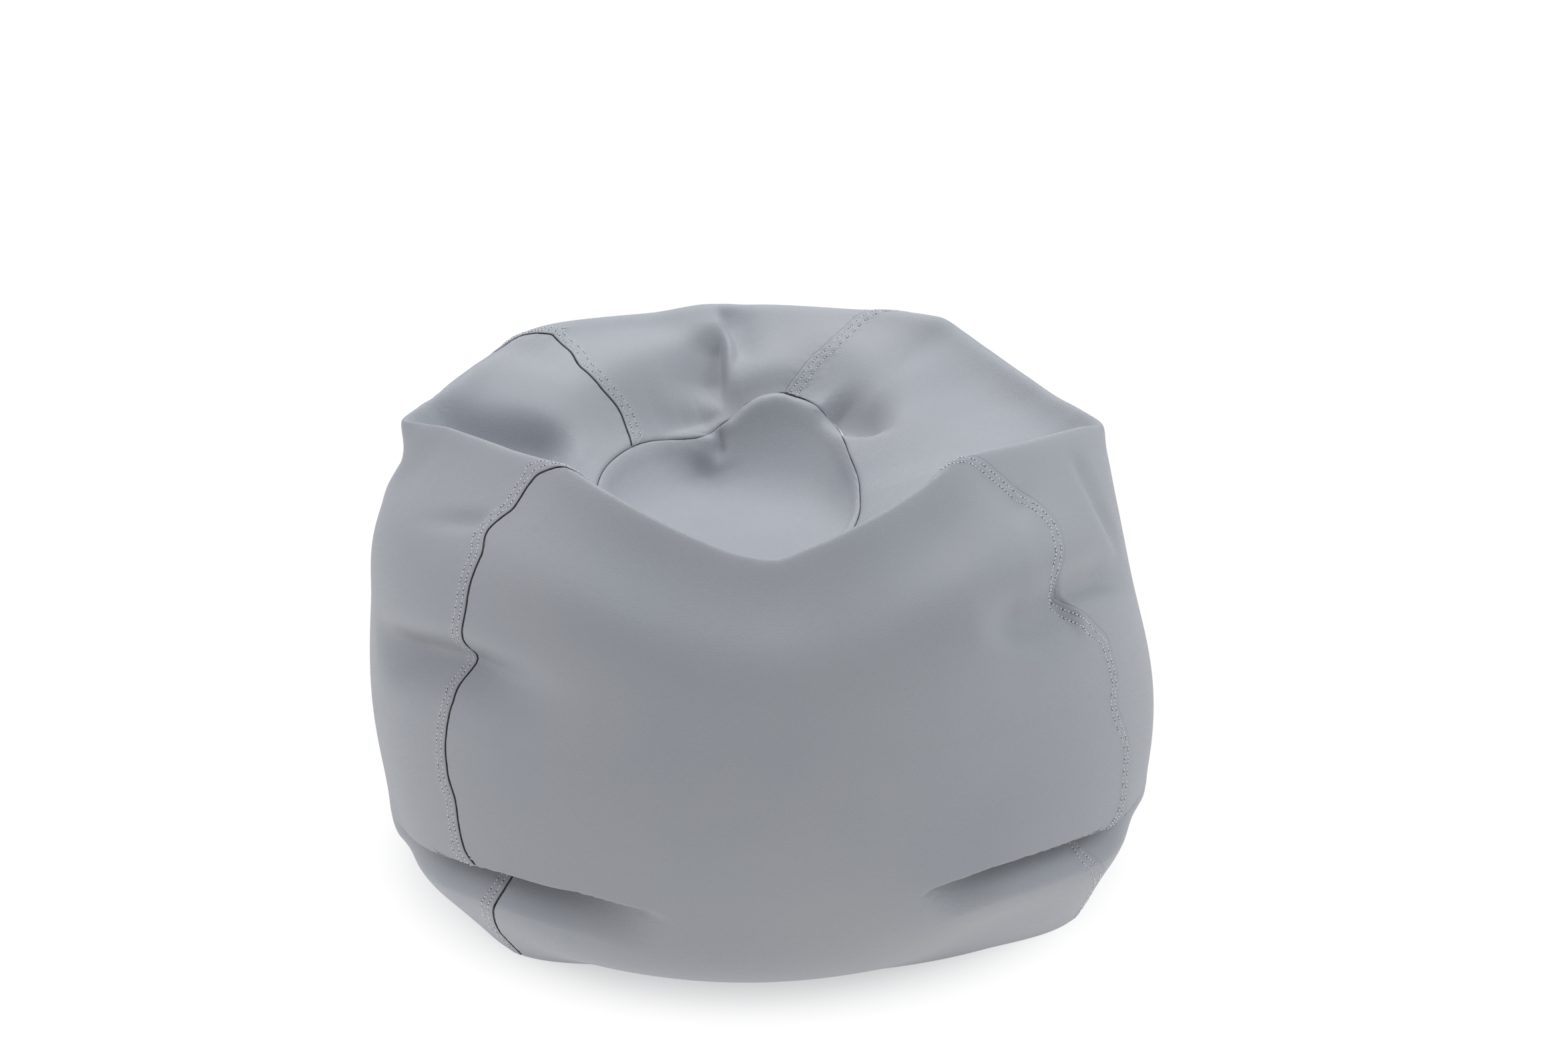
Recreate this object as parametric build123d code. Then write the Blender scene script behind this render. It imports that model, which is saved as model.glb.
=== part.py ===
"""Bean bag chair: vinyl cover of four gores, a sunken round cap and a flat base, over a bead-filled liner.

Frame: +Z up, the front of the chair faces -Y, and it rests on z = 0. Millimetres throughout.
Azimuths are in degrees, 0 at the front and positive towards +X.
"""
from build123d import *
import math
import os

# Driving dimensions
VINYL = 1.2                # cover sheet with its knitted backing
LINER = 0.8                # woven liner cloth
LAYER_GAP = 0.4            # air between cover, liner and beads
LINER_FLOOR = 5.5          # underside of the liner's base, which clears the cover's zip
BEAD_FLOOR = 10.5          # underside of the beads, which clears the liner's zip
BASE_SEAM_INSET = 6.0      # the base panels stop this far inside the outline on the floor
SEAMS = {"front_left": -44.0, "front_right": 53.0, "back_right": 148.0, "back_left": -134.0}
AZIMUTH_STEP = 10          # spacing of the points on a ring
CROWN_RADIUS = 12.0        # small flat at the middle of the cap
CROWN_HEIGHT = 388.0
SPAN = 600.0               # half the width of the cutting blocks, which clears the bag
TALL = 700.0               # a height that clears the bag
DEEP = 50.0                # a depth that clears the base and its zip
BELOW = 5.0                # how far the cutting solids reach under the floor
WEDGE_REACH = 900.0        # corners of the wedges that part the gores
WEDGE_BULGE = 1.6
CAP_PRISM_DROP = 60.0      # the cap's cutting prism starts this far under the crown

# Zip, measured from the middle of its chain
SLIT_HALF = 6.0
SLIT_LENGTH = 570.0
CHAIN_LENGTH = 560.0
TAPE = 0.7
TAPE_REACH = 16.0
HEM_REACH = 20.0
CHAIN_INNER = 0.8          # each coil's clearance from the middle, room for the slider's post
CHAIN_OUTER = 3.2
COIL_HALF = 0.85
COIL_PITCH = 5.0
COIL_GROOVE = 0.35
GROOVE_HALF = 0.3
STOP_LENGTH = 4.0
SLIDER_LENGTH = 11.0
SLIDER_HALF = 4.6
SLIDER_PLATE = 0.7
SLIDER_GAP = 0.3
SLIDER_PLAY = 0.35         # clearance of the slider's post and lips beside the coils
SLIDER_CORNER = 1.5
SLIDER_SETBACK = 1.0       # from the closed stop
LIP_SETBACK = 2.0          # from each end of the slider's plates
POST = (1.5, 4.0)          # where the post starts and ends, from the slider's front
BITE = 0.1                 # overlap that joins the slider's pieces

# Outline rings from the floor up over the rim and down to the cap: azimuth: (radius, height)
BASE = {3: (316, 0), 19: (325, 0), 41: (353, 0), 60: (393, 0), 92: (340, 0), 148: (385, 0),
        178: (325, 0), -135: (385, 0), -90: (335, 0), -44: (372, 0), -24: (328, 0)}
FOOT = {3: (375, 30), 30: (370, 33), 57: (415, 45), 92: (390, 40), 148: (410, 40), 178: (375, 35),
        -135: (410, 40), -90: (385, 40), -44: (400, 45)}
LOW = {3: (405, 100), 57: (440, 125), 92: (430, 120), 148: (430, 120), 178: (405, 110),
       -135: (438, 120), -90: (427, 120), -68: (424, 120), -44: (433, 120)}
BELLY = {3: (417, 200), 55: (435, 220), 92: (437, 210), 148: (435, 220), 178: (417, 220),
         -135: (440, 220), -90: (437, 210), -70: (430, 212), -44: (434, 220)}
UPPER = {3: (405, 310), 50: (415, 340), 92: (410, 320), 148: (420, 350), 178: (410, 360),
         -135: (430, 340), -90: (428, 320), -42: (415, 340)}
SHOULDER = {3: (374, 388), 45: (374, 452), 75: (382, 440), 92: (385, 425), 118: (378, 448), 148: (382, 475),
            178: (372, 485), -135: (402, 462), -90: (405, 430), -42: (378, 446)}
RIM = {-3: (310, 460), 3: (310, 455), 10: (308, 466), 20: (303, 484), 32: (293, 503), 45: (287, 523),
       65: (310, 518), 80: (341, 508), 88: (362, 496), 92: (371, 490), 99: (358, 493), 106: (345, 496),
       114: (335, 505), 121: (330, 514), 128: (328, 525), 134: (326, 537), 140: (322, 549), 148: (315, 550),
       160: (309, 547), 178: (300, 550), -168: (306, 551), -155: (325, 541), -145: (343, 539),
       -135: (354, 539), -127: (356, 536), -121: (356, 525), -113: (356, 519), -105: (360, 512),
       -95: (374, 504), -90: (386, 499), -85: (362, 504), -77: (332, 512), -60: (300, 516),
       -42: (292, 520), -31: (297, 508), -20: (303, 490), -10: (308, 472)}
WALL = {0: (230, 402), 30: (222, 430), 45: (220, 455), 90: (245, 440), 125: (220, 465), 160: (235, 512),
        180: (225, 500), -150: (260, 500), -133: (265, 490), -112: (262, 464), -98: (262, 430),
        -86: (268, 404), -72: (250, 402), -50: (230, 416), -30: (226, 418)}
CAP_SEAM = {0: (155, 385), 45: (130, 395), 85: (115, 408), 125: (125, 435), 165: (172, 477),
            -178: (165, 477), -155: (160, 445), -133: (185, 438), -106: (182, 425), -85: (180, 408),
            -45: (172, 400)}
CAP_MIDDLE = {0: (80, 372), 60: (65, 382), 110: (60, 400), 165: (90, 437), -160: (78, 420),
              -110: (88, 400), -60: (88, 382)}
RINGS = [BASE, FOOT, LOW, BELLY, UPPER, SHOULDER, RIM, WALL, CAP_SEAM, CAP_MIDDLE]


def slope(before, here, after):
    """Harmonic mean of the two slopes beside a key, so that the curve never overshoots."""
    gap_a = here[0] - before[0]
    gap_b = after[0] - here[0]
    rise_a = (here[1] - before[1]) / gap_a
    rise_b = (after[1] - here[1]) / gap_b
    if rise_a * rise_b <= 0:
        return 0.0
    weight_a = 2 * gap_b + gap_a
    weight_b = gap_b + 2 * gap_a
    return (weight_a + weight_b) / (weight_a / rise_a + weight_b / rise_b)


def around(keys, azimuth, column):
    """Value of one column of a ring's keys at an azimuth, periodic over the full turn."""
    turn = [(a + lap, keys[a][column]) for lap in (-360, 0, 360) for a in sorted(keys)]
    after = next(i for i, key in enumerate(turn) if key[0] > azimuth)
    left, right = turn[after - 1], turn[after]
    gap = right[0] - left[0]
    s = (azimuth - left[0]) / gap
    slope_left = slope(turn[after - 2], left, right) * gap
    slope_right = slope(left, right, turn[after + 1]) * gap
    return ((2 * s**3 - 3 * s**2 + 1) * left[1] + (s**3 - 2 * s**2 + s) * slope_left
            + (3 * s**2 - 2 * s**3) * right[1] + (s**3 - s**2) * slope_right)


def meridian(azimuth, inset):
    """Radius and height at each ring, moved inwards by inset."""
    outline = [(around(ring, azimuth, 0), around(ring, azimuth, 1)) for ring in RINGS]
    outline.append((CROWN_RADIUS, CROWN_HEIGHT))
    moved = [(outline[0][0] - inset, inset)]
    for before, here, after in zip(outline, outline[1:], outline[2:]):
        run = after[0] - before[0]
        rise = after[1] - before[1]
        length = math.hypot(run, rise)
        moved.append((here[0] - inset * rise / length, here[1] + inset * run / length))
    moved.append((CROWN_RADIUS, CROWN_HEIGHT - inset))
    return moved


def at(azimuth, radius, height):
    """Point at an azimuth, radius and height."""
    turn = math.radians(azimuth)
    return Vector(radius * math.sin(turn), -radius * math.cos(turn), height)


def closed_spline(points):
    """One smooth closed wire through the points."""
    return Wire([Edge.make_spline(points, periodic=True)])


def bag(inset, floor):
    """Closed solid of the bag's form, inset from the cover's outer face and cut flat at floor."""
    azimuths = range(0, 360, AZIMUTH_STEP)
    meridians = [meridian(azimuth, inset) for azimuth in azimuths]
    rings = []
    for level in range(len(meridians[0])):
        rings.append(closed_spline([at(a, *m[level]) for a, m in zip(azimuths, meridians)]))
    form = Solid.make_loft(rings)
    if floor > inset:
        form -= block((-SPAN, SPAN), (-SPAN, SPAN), (-DEEP, floor))
    return form


def column(keys, shrink, bottom, top):
    """Upright prism on a ring's plan outline."""
    azimuths = range(0, 360, AZIMUTH_STEP)
    outline = closed_spline([at(a, around(keys, a, 0) - shrink, bottom) for a in azimuths])
    return Solid.extrude(Face(outline), Vector(0, 0, top - bottom))


def wedge(start, end):
    """Upright wedge between two seams, which meet at the middle of the bag."""
    middle = (start + end) / 2
    corners = [Vector(0, 0, -BELOW), at(start, WEDGE_REACH, -BELOW),
               at(middle, WEDGE_BULGE * WEDGE_REACH, -BELOW), at(end, WEDGE_REACH, -BELOW)]
    return Solid.extrude(Face(Wire.make_polygon(corners)), Vector(0, 0, TALL))


def block(x, y, z):
    """Box from three (low, high) pairs."""
    size = [high - low for low, high in (x, y, z)]
    middle = [(high + low) / 2 for low, high in (x, y, z)]
    return Pos(*middle) * Box(*size)


def both_sides(low, high, side):
    """The (low, high) pair on the front, -1, or the rear, 1, side of the zip."""
    return (low, high) if side > 0 else (-high, -low)


def skin(prefix, outer, inner, floor, sheet):
    """Cap, four gores and two base halves cut from the shell between two forms."""
    shell = outer - inner
    cap_prism = column(CAP_SEAM, 0, CROWN_HEIGHT - CAP_PRISM_DROP, TALL)
    base_prism = column(BASE, BASE_SEAM_INSET + floor / 2, floor - 1, floor + 2 * sheet)
    sides = shell - cap_prism - base_prism
    names = ["front", "right", "back", "left"]
    edges = [SEAMS["front_left"], SEAMS["front_right"], SEAMS["back_right"],
             SEAMS["back_left"] + 360, SEAMS["front_left"] + 360]
    parts = {prefix + "_top_cap": shell & cap_prism}
    for name, start, end in zip(names, edges, edges[1:]):
        parts[f"{prefix}_{name}_panel"] = sides & wedge(start, end)
    base = shell & base_prism
    slit = (-SLIT_LENGTH / 2, SLIT_LENGTH / 2)
    for name, side in (("front", -1), ("rear", 1)):
        half = base & block((-SPAN, SPAN), both_sides(0, SPAN, side), (-BELOW, DEEP))
        half -= block(slit, both_sides(0, SLIT_HALF, side), (-BELOW, DEEP))
        hem = block(slit, both_sides(SLIT_HALF, HEM_REACH, side), (floor + sheet, floor + 2 * sheet))
        parts[f"{prefix}_base_{name}"] = half + hem
    return parts


def zip_parts(prefix, floor, sheet):
    """Zip under a base: two tapes, two coils, a stop at each end and a slider without a pull tab."""
    seat = floor + 2 * sheet
    middle = seat + TAPE / 2
    half = CHAIN_LENGTH / 2
    parts = {}
    for name, side in (("front", -1), ("rear", 1)):
        tape = block((-half, half), both_sides(CHAIN_OUTER, TAPE_REACH, side), (seat, seat + TAPE))
        coil = block((-half, half), both_sides(CHAIN_INNER, CHAIN_OUTER, side),
                     (middle - COIL_HALF, middle + COIL_HALF))
        turns = int(CHAIN_LENGTH / COIL_PITCH)
        for turn in range(1, turns):
            x = -half + turn * COIL_PITCH
            coil -= block((x - GROOVE_HALF, x + GROOVE_HALF), both_sides(CHAIN_INNER, CHAIN_OUTER, side),
                          (middle - COIL_HALF, middle - COIL_HALF + COIL_GROOVE))
        parts[f"{prefix}_zip_tape_{name}"] = tape
        parts[f"{prefix}_zip_coil_{name}"] = coil
    for name, side in (("closed", 1), ("open", -1)):
        x = (half, half + STOP_LENGTH) if side > 0 else (-half - STOP_LENGTH, -half)
        stop = block(x, (-CHAIN_OUTER, CHAIN_OUTER), (middle - COIL_HALF, middle + COIL_HALF))
        parts[f"{prefix}_zip_stop_{name}"] = stop
    parts[f"{prefix}_zip_slider"] = slider(half, middle)
    return parts


def slider(half, middle):
    """Two plates with lips that hold the tapes, joined by a post between the two coils."""
    front = half - SLIDER_SETBACK
    x = (front - SLIDER_LENGTH, front)
    clear = COIL_HALF + SLIDER_GAP
    body = None
    for side in (-1, 1):
        plate_z = sorted((middle + side * clear, middle + side * (clear + SLIDER_PLATE)))
        plate = block(x, (-SLIDER_HALF, SLIDER_HALF), plate_z)
        plate = fillet(plate.edges().filter_by(Axis.Z), SLIDER_CORNER)
        body = plate if body is None else body + plate
        lip_z = sorted((middle + side * (TAPE / 2 + SLIDER_GAP), middle + side * (clear + BITE)))
        for rail in (-1, 1):
            body += block((x[0] + LIP_SETBACK, x[1] - LIP_SETBACK),
                          both_sides(CHAIN_OUTER + SLIDER_PLAY, SLIDER_HALF, rail), lip_z)
    post_half = CHAIN_INNER - SLIDER_PLAY
    body += block((x[1] - POST[1], x[1] - POST[0]), (-post_half, post_half),
                  (middle - clear - BITE, middle + clear + BITE))
    return body


def build():
    """Every sub-part by name, centred on the middle of the cover's box."""
    cover_outer = bag(0, 0)
    cover_inner = bag(VINYL, VINYL)
    liner_inset = VINYL + LAYER_GAP
    liner_outer = bag(liner_inset, LINER_FLOOR)
    liner_inner = bag(liner_inset + LINER, LINER_FLOOR + LINER)
    beads = bag(liner_inset + LINER + LAYER_GAP, BEAD_FLOOR)
    parts = skin("cover", cover_outer, cover_inner, 0, VINYL)
    parts.update(zip_parts("cover", 0, VINYL))
    parts.update(skin("liner", liner_outer, liner_inner, LINER_FLOOR, LINER))
    parts.update(zip_parts("liner", LINER_FLOOR, LINER))
    parts["bead_filling"] = beads
    middle = cover_outer.bounding_box().center()
    print("cover box", cover_outer.bounding_box())
    return {name: Pos(-middle.X, -middle.Y, 0) * shape for name, shape in parts.items()}


def main():
    os.makedirs("parts", exist_ok=True)
    for name, shape in build().items():
        export_step(shape, f"parts/{name}.step")


main()
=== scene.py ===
"""Looks of the bean bag chair: vinyl cover, liner, beads, topstitching, zips, floor, lights and camera.

Metres, +Z up, the chair's front faces -Y. Azimuths are in degrees, 0 at the front and positive towards +X.
A level goes from the floor (0) up over the rim (6) and down to the cap seam (8) and the cap's middle (10).
"""
import math
import bpy
import numpy as np
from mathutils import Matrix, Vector


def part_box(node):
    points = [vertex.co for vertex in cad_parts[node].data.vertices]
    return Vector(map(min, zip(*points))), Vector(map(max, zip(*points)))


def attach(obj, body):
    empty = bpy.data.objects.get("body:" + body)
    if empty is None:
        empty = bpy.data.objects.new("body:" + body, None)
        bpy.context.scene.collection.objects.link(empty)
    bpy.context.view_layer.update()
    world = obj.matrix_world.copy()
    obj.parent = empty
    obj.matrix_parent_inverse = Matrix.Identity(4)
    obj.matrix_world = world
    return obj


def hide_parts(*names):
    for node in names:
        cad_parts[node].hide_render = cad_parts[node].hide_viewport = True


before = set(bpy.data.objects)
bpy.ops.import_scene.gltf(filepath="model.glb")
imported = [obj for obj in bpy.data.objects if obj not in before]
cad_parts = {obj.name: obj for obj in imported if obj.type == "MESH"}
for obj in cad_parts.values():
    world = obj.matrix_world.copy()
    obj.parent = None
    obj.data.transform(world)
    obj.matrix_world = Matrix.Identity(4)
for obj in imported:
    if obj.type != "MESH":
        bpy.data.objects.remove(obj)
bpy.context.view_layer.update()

MM = 0.001
# Outline rings, in millimetres: azimuth: (radius, height). The last two only steer the curve near the seam
FLOOR_RING = {3: (316, 0), 19: (325, 0), 41: (353, 0), 60: (393, 0), 92: (340, 0), 148: (385, 0),
              178: (325, 0), -135: (385, 0), -90: (335, 0), -44: (372, 0), -24: (328, 0)}
FOOT = {3: (375, 30), 30: (370, 33), 57: (415, 45), 92: (390, 40), 148: (410, 40), 178: (375, 35),
        -135: (410, 40), -90: (388, 40), -68: (401, 44), -44: (402, 45)}
LOW = {3: (405, 100), 57: (440, 125), 92: (430, 120), 148: (430, 120), 178: (405, 110),
       -135: (438, 120), -90: (427, 120), -68: (424, 120), -44: (433, 120)}
BELLY = {3: (417, 200), 55: (435, 220), 92: (437, 210), 148: (435, 220), 178: (417, 220),
         -135: (440, 220), -90: (437, 210), -70: (430, 212), -44: (434, 220)}
UPPER = {3: (405, 310), 50: (415, 340), 92: (410, 320), 148: (420, 350), 178: (410, 360),
         -135: (430, 340), -90: (428, 320), -42: (415, 340)}
SHOULDER = {3: (374, 388), 45: (374, 452), 75: (382, 440), 92: (385, 425), 118: (378, 448), 148: (382, 475),
            178: (372, 485), -135: (402, 462), -90: (405, 430), -42: (378, 446)}
BROW = {-3: (329, 439), 3: (329, 434), 10: (327, 445), 20: (322, 462), 32: (313, 481), 45: (309, 503),
        65: (333, 500), 80: (360, 487), 92: (377, 469), 99: (368, 470), 114: (351, 482), 128: (347, 503),
        140: (343, 527), 148: (338, 530), 160: (334, 528), 178: (325, 532), -168: (331, 533),
        -155: (348, 522), -145: (364, 519), -135: (374, 518), -127: (375, 515), -113: (373, 498),
        -105: (375, 490), -95: (382, 480), -90: (388, 474), -77: (347, 491), -60: (322, 497),
        -42: (313, 501), -31: (317, 487), -20: (322, 468), -10: (327, 450)}
RIM = {-3: (310, 460), 3: (310, 455), 10: (308, 466), 20: (303, 484), 32: (293, 503), 45: (287, 523),
       65: (310, 518), 80: (341, 508), 88: (362, 496), 92: (371, 490), 99: (358, 493), 106: (345, 496),
       114: (335, 505), 121: (330, 514), 128: (328, 525), 134: (326, 537), 140: (322, 549), 148: (315, 550),
       160: (309, 547), 178: (300, 550), -168: (306, 551), -155: (325, 541), -145: (343, 539),
       -135: (354, 539), -127: (356, 536), -121: (356, 525), -113: (356, 519), -105: (360, 512),
       -95: (374, 504), -90: (386, 499), -85: (362, 504), -77: (332, 512), -60: (300, 516),
       -42: (292, 520), -31: (297, 508), -20: (303, 490), -10: (308, 472)}
LIP = {-3: (298, 441), 3: (298, 436), 10: (296, 447), 20: (290, 464), 32: (280, 483), 45: (273, 504),
       65: (292, 500), 80: (322, 490), 92: (350, 474), 99: (338, 480), 106: (325, 484), 121: (309, 503),
       134: (304, 527), 148: (293, 541), 178: (278, 542), -168: (284, 544), -155: (303, 534),
       -145: (321, 532), -135: (332, 530), -121: (334, 520), -105: (338, 498), -95: (350, 484),
       -90: (358, 474), -85: (342, 482), -77: (314, 490), -60: (285, 496), -42: (278, 500), -31: (284, 488),
       -20: (290, 471), -10: (296, 453)}
WALL = {0: (230, 402), 30: (222, 430), 45: (220, 458), 90: (238, 450), 125: (216, 477), 160: (232, 516),
        180: (228, 516), -150: (251, 509), -133: (258, 499), -112: (259, 476), -98: (262, 434),
        -86: (268, 404), -72: (250, 402), -50: (230, 416), -30: (226, 418)}
CAP_SEAM = {0: (155, 385), 45: (128, 395), 65: (114, 400), 90: (108, 411), 108: (112, 422),
            125: (120, 435), 142: (144, 448), 150: (158, 458), 158: (167, 468), 165: (171, 478),
            173: (169, 485), 180: (166, 482), -172: (163, 471), -165: (161, 452), -157: (160, 435),
            -150: (163, 433), -142: (175, 432), -133: (185, 433), -106: (182, 425), -85: (180, 408),
            -45: (172, 400)}
CAP_MIDDLE = {0: (80, 372), 60: (65, 382), 110: (60, 400), 165: (90, 437), -160: (78, 420),
              -110: (88, 400), -60: (88, 382)}
CROWN = {0: (0, 388), 120: (0, 388), -120: (0, 388)}
RINGS = [FLOOR_RING, FOOT, LOW, BELLY, UPPER, SHOULDER, BROW, RIM, LIP, WALL, CAP_SEAM, CAP_MIDDLE, CROWN]
# Levels of the rings: brow and lip stand close to the rim, outside and inside it
RING_LEVELS = [0, 1, 2, 3, 4, 5, 5.7, 6, 6.3, 7, 8, 9, 10]
CAP_LEVEL = 8.0
LAST_LEVEL = 10.0

# Seam lines: level: azimuth of the folded edge. The panel on the lower azimuth laps over its neighbour
SEAM_LINES = {
    "front_left": {0: -42, 0.8: -42, 1.6: -38.5, 1.95: -36.8, 2.1: -36.6, 2.22: -37, 2.29: -38.8, 2.34: -40.3,
                   2.42: -41.9, 2.56: -42.7, 2.8: -43.5, 3.04: -45.5, 3.3: -46.5, 3.62: -46.5, 3.76: -47.3,
                   3.92: -47.1, 4.06: -46.3, 4.24: -45.2, 4.5: -44.5, 4.7: -44.8, 4.96: -45.2, 5.22: -47.5,
                   5.34: -47, 5.46: -46, 5.64: -46.3, 5.76: -45.8, 5.88: -43, 5.98: -40, 6.03: -37,
                   6.08: -33.5, 6.14: -31, 6.3: -29.5, 7: -31, 8: -35},
    "front_right": {0: 61, 0.5: 60.5, 1.2: 58, 1.76: 53, 2.0: 50.9, 2.22: 51.8, 2.29: 55, 2.35: 58,
                    2.62: 59.9, 2.94: 61.2, 3.38: 59, 3.56: 60.2, 3.94: 58.7, 4.18: 54.5, 4.44: 50.5,
                    4.64: 49.8, 4.88: 52.2, 5.14: 54.2, 5.4: 53.8, 5.56: 52, 5.7: 50.6, 5.86: 48.6,
                    5.96: 46.6, 6.04: 44, 6.2: 42.5, 7: 45, 8: 48},
    "back_right": {0: 148, 2: 148, 3: 150, 4: 149, 5: 149, 5.9: 151, 6.06: 155.3, 6.62: 159.8, 6.94: 162,
                   7.14: 164, 7.38: 165.7, 7.62: 167.3, 7.8: 169, 8: 170.5},
    "back_left": {0: -135, 2: -135, 3: -136.5, 4: -135, 5: -131, 5.5: -124, 5.8: -120, 5.95: -121.5,
                  6.02: -124.5, 6.08: -128, 6.16: -131, 6.26: -133, 6.5: -133, 6.84: -130.7, 7.18: -131,
                  7.54: -132.5, 7.86: -130, 8: -127.5},
}


def periodic(keys, azimuth):
    """Values around a ring at each azimuth, through its keys and without overshoot."""
    order = sorted(keys)
    turn = np.array([a + lap for lap in (-360, 0, 360) for a in order], float)
    value = np.array([keys[a] for a in order] * 3, float)
    a = (np.asarray(azimuth, float) + 180) % 360 - 180
    return hermite(turn, value, a)


def hermite(places, values, where):
    """Monotone cubic through (places, values), values having one row for each place."""
    gap = np.diff(places)[:, None]
    rise = np.diff(values, axis=0) / gap
    weight_a = 2 * gap[1:] + gap[:-1]
    weight_b = gap[1:] + 2 * gap[:-1]
    same = rise[:-1] * rise[1:] > 0
    safe_a = np.where(same, rise[:-1], 1.0)
    safe_b = np.where(same, rise[1:], 1.0)
    inner = np.where(same, (weight_a + weight_b) / (weight_a / safe_a + weight_b / safe_b), 0.0)
    slope = np.vstack([rise[:1], inner, rise[-1:]])
    i = np.clip(np.searchsorted(places, where, side="right") - 1, 0, len(places) - 2)
    h = (places[i + 1] - places[i])[..., None]
    s = (where - places[i])[..., None] / h
    return ((2 * s**3 - 3 * s**2 + 1) * values[i] + (s**3 - 2 * s**2 + s) * slope[i] * h
            + (3 * s**2 - 2 * s**3) * values[i + 1] + (s**3 - s**2) * slope[i + 1] * h)


def along(keys, where):
    """Values of a {place: number} table at each place."""
    places = np.array(sorted(keys), float)
    values = np.array([[keys[p]] for p in sorted(keys)], float)
    return hermite(places, values, np.asarray(where, float))[..., 0]


def bend_matrix(knots):
    """Second derivatives of a natural cubic spline from its values at the knots."""
    count = len(knots)
    h = np.diff(knots)
    left = np.zeros((count, count))
    right = np.zeros((count, count))
    left[0, 0] = left[-1, -1] = 1
    for i in range(1, count - 1):
        left[i, i - 1:i + 2] = h[i - 1], 2 * (h[i - 1] + h[i]), h[i]
        right[i, i - 1:i + 2] = 6 / h[i - 1], -6 / h[i - 1] - 6 / h[i], 6 / h[i]
    return np.linalg.solve(left, right)


def ring_knots():
    """Mean distance up the outline to each ring, in millimetres."""
    rings = np.array([periodic(ring, np.arange(0, 360, 15.0)) for ring in RINGS])
    steps = np.linalg.norm(np.diff(rings, axis=0), axis=-1).mean(1)
    return np.concatenate([[0], np.cumsum(steps)])


KNOTS = ring_knots()
BENDS = bend_matrix(KNOTS)
SEAM_KNOT = KNOTS[RING_LEVELS.index(CAP_LEVEL)]

CAP_SAG = 38               # millimetres that the cap's middle hangs below its seam
CAP_TILT = 44              # and how much more it hangs towards the back, less towards the front
CAP_WAVES = 14             # waves round the seam that the cap still follows


def cap_form(azimuth, level):
    """Point on the cap: its seam's waves die away towards the middle, which hangs down."""
    round_angle = np.arange(0, 360, 5.0)
    turn = np.radians(round_angle)
    seam = periodic(CAP_SEAM, round_angle)
    rim = np.stack([seam[:, 0] * np.sin(turn), -seam[:, 0] * np.cos(turn), seam[:, 1]], -1)
    reach = (LAST_LEVEL - level) / (LAST_LEVEL - CAP_LEVEL)
    angle = np.radians(azimuth)
    point = np.zeros(azimuth.shape + (3,)) + rim.mean(0)
    for wave in range(1, CAP_WAVES + 1):
        even = 2 * (rim * np.cos(wave * turn)[:, None]).mean(0)
        odd = 2 * (rim * np.sin(wave * turn)[:, None]).mean(0)
        fall = reach**wave
        point += (fall * np.cos(wave * angle))[..., None] * even
        point += (fall * np.sin(wave * angle))[..., None] * odd
    point[..., 2] -= (1 - reach**4) * (CAP_SAG - CAP_TILT * reach * np.cos(angle))
    return point * MM


def form(azimuth, level):
    """Point on the smooth form, before any fold or dent."""
    azimuth, level = np.broadcast_arrays(np.asarray(azimuth, float), np.asarray(level, float))
    point = gore_form(azimuth, level)
    on_cap = level > CAP_LEVEL
    point[on_cap] = cap_form(azimuth[on_cap], level[on_cap])
    return point


def gore_form(azimuth, level):
    """Point on the smooth form of the gores, from the rings below and above it."""
    rings = np.stack([periodic(ring, azimuth) for ring in RINGS], -2)
    bends = np.einsum("kj,...jc->...kc", BENDS, rings)
    place = np.interp(level, RING_LEVELS, KNOTS)
    i = np.clip(np.searchsorted(KNOTS, place, side="right") - 1, 0, len(KNOTS) - 2)
    h = KNOTS[i + 1] - KNOTS[i]
    b = (place - KNOTS[i]) / h
    a = 1 - b

    def at(rows, index):
        return np.take_along_axis(rows, index[..., None, None], axis=-2)[..., 0, :]

    rz = (a[..., None] * at(rings, i) + b[..., None] * at(rings, i + 1)
          + ((a**3 - a) * h**2 / 6)[..., None] * at(bends, i)
          + ((b**3 - b) * h**2 / 6)[..., None] * at(bends, i + 1))
    turn = np.radians(azimuth)
    return np.stack([rz[..., 0] * np.sin(turn), -rz[..., 0] * np.cos(turn), rz[..., 1]], -1) * MM


def unit(vectors):
    """Vectors scaled to length 1."""
    return vectors / (np.linalg.norm(vectors, axis=-1, keepdims=True) + 1e-12)


def form_normal(azimuth, level):
    """Outward normal of the smooth form."""
    aside, rise, top = 0.4, 0.03, 9.97
    across = form(azimuth + aside, level) - form(azimuth - aside, level)
    up = form(azimuth, np.minimum(level + rise, top)) - form(azimuth, np.maximum(level - rise, 0))
    return unit(np.cross(across, up))


def smooth(x):
    """Smoothstep from 0 to 1."""
    x = np.clip(x, 0, 1)
    return x * x * (3 - 2 * x)


def bell(x):
    """Bell curve of height 1, which has fallen to 1/e at 1."""
    return np.exp(-x * x)


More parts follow.
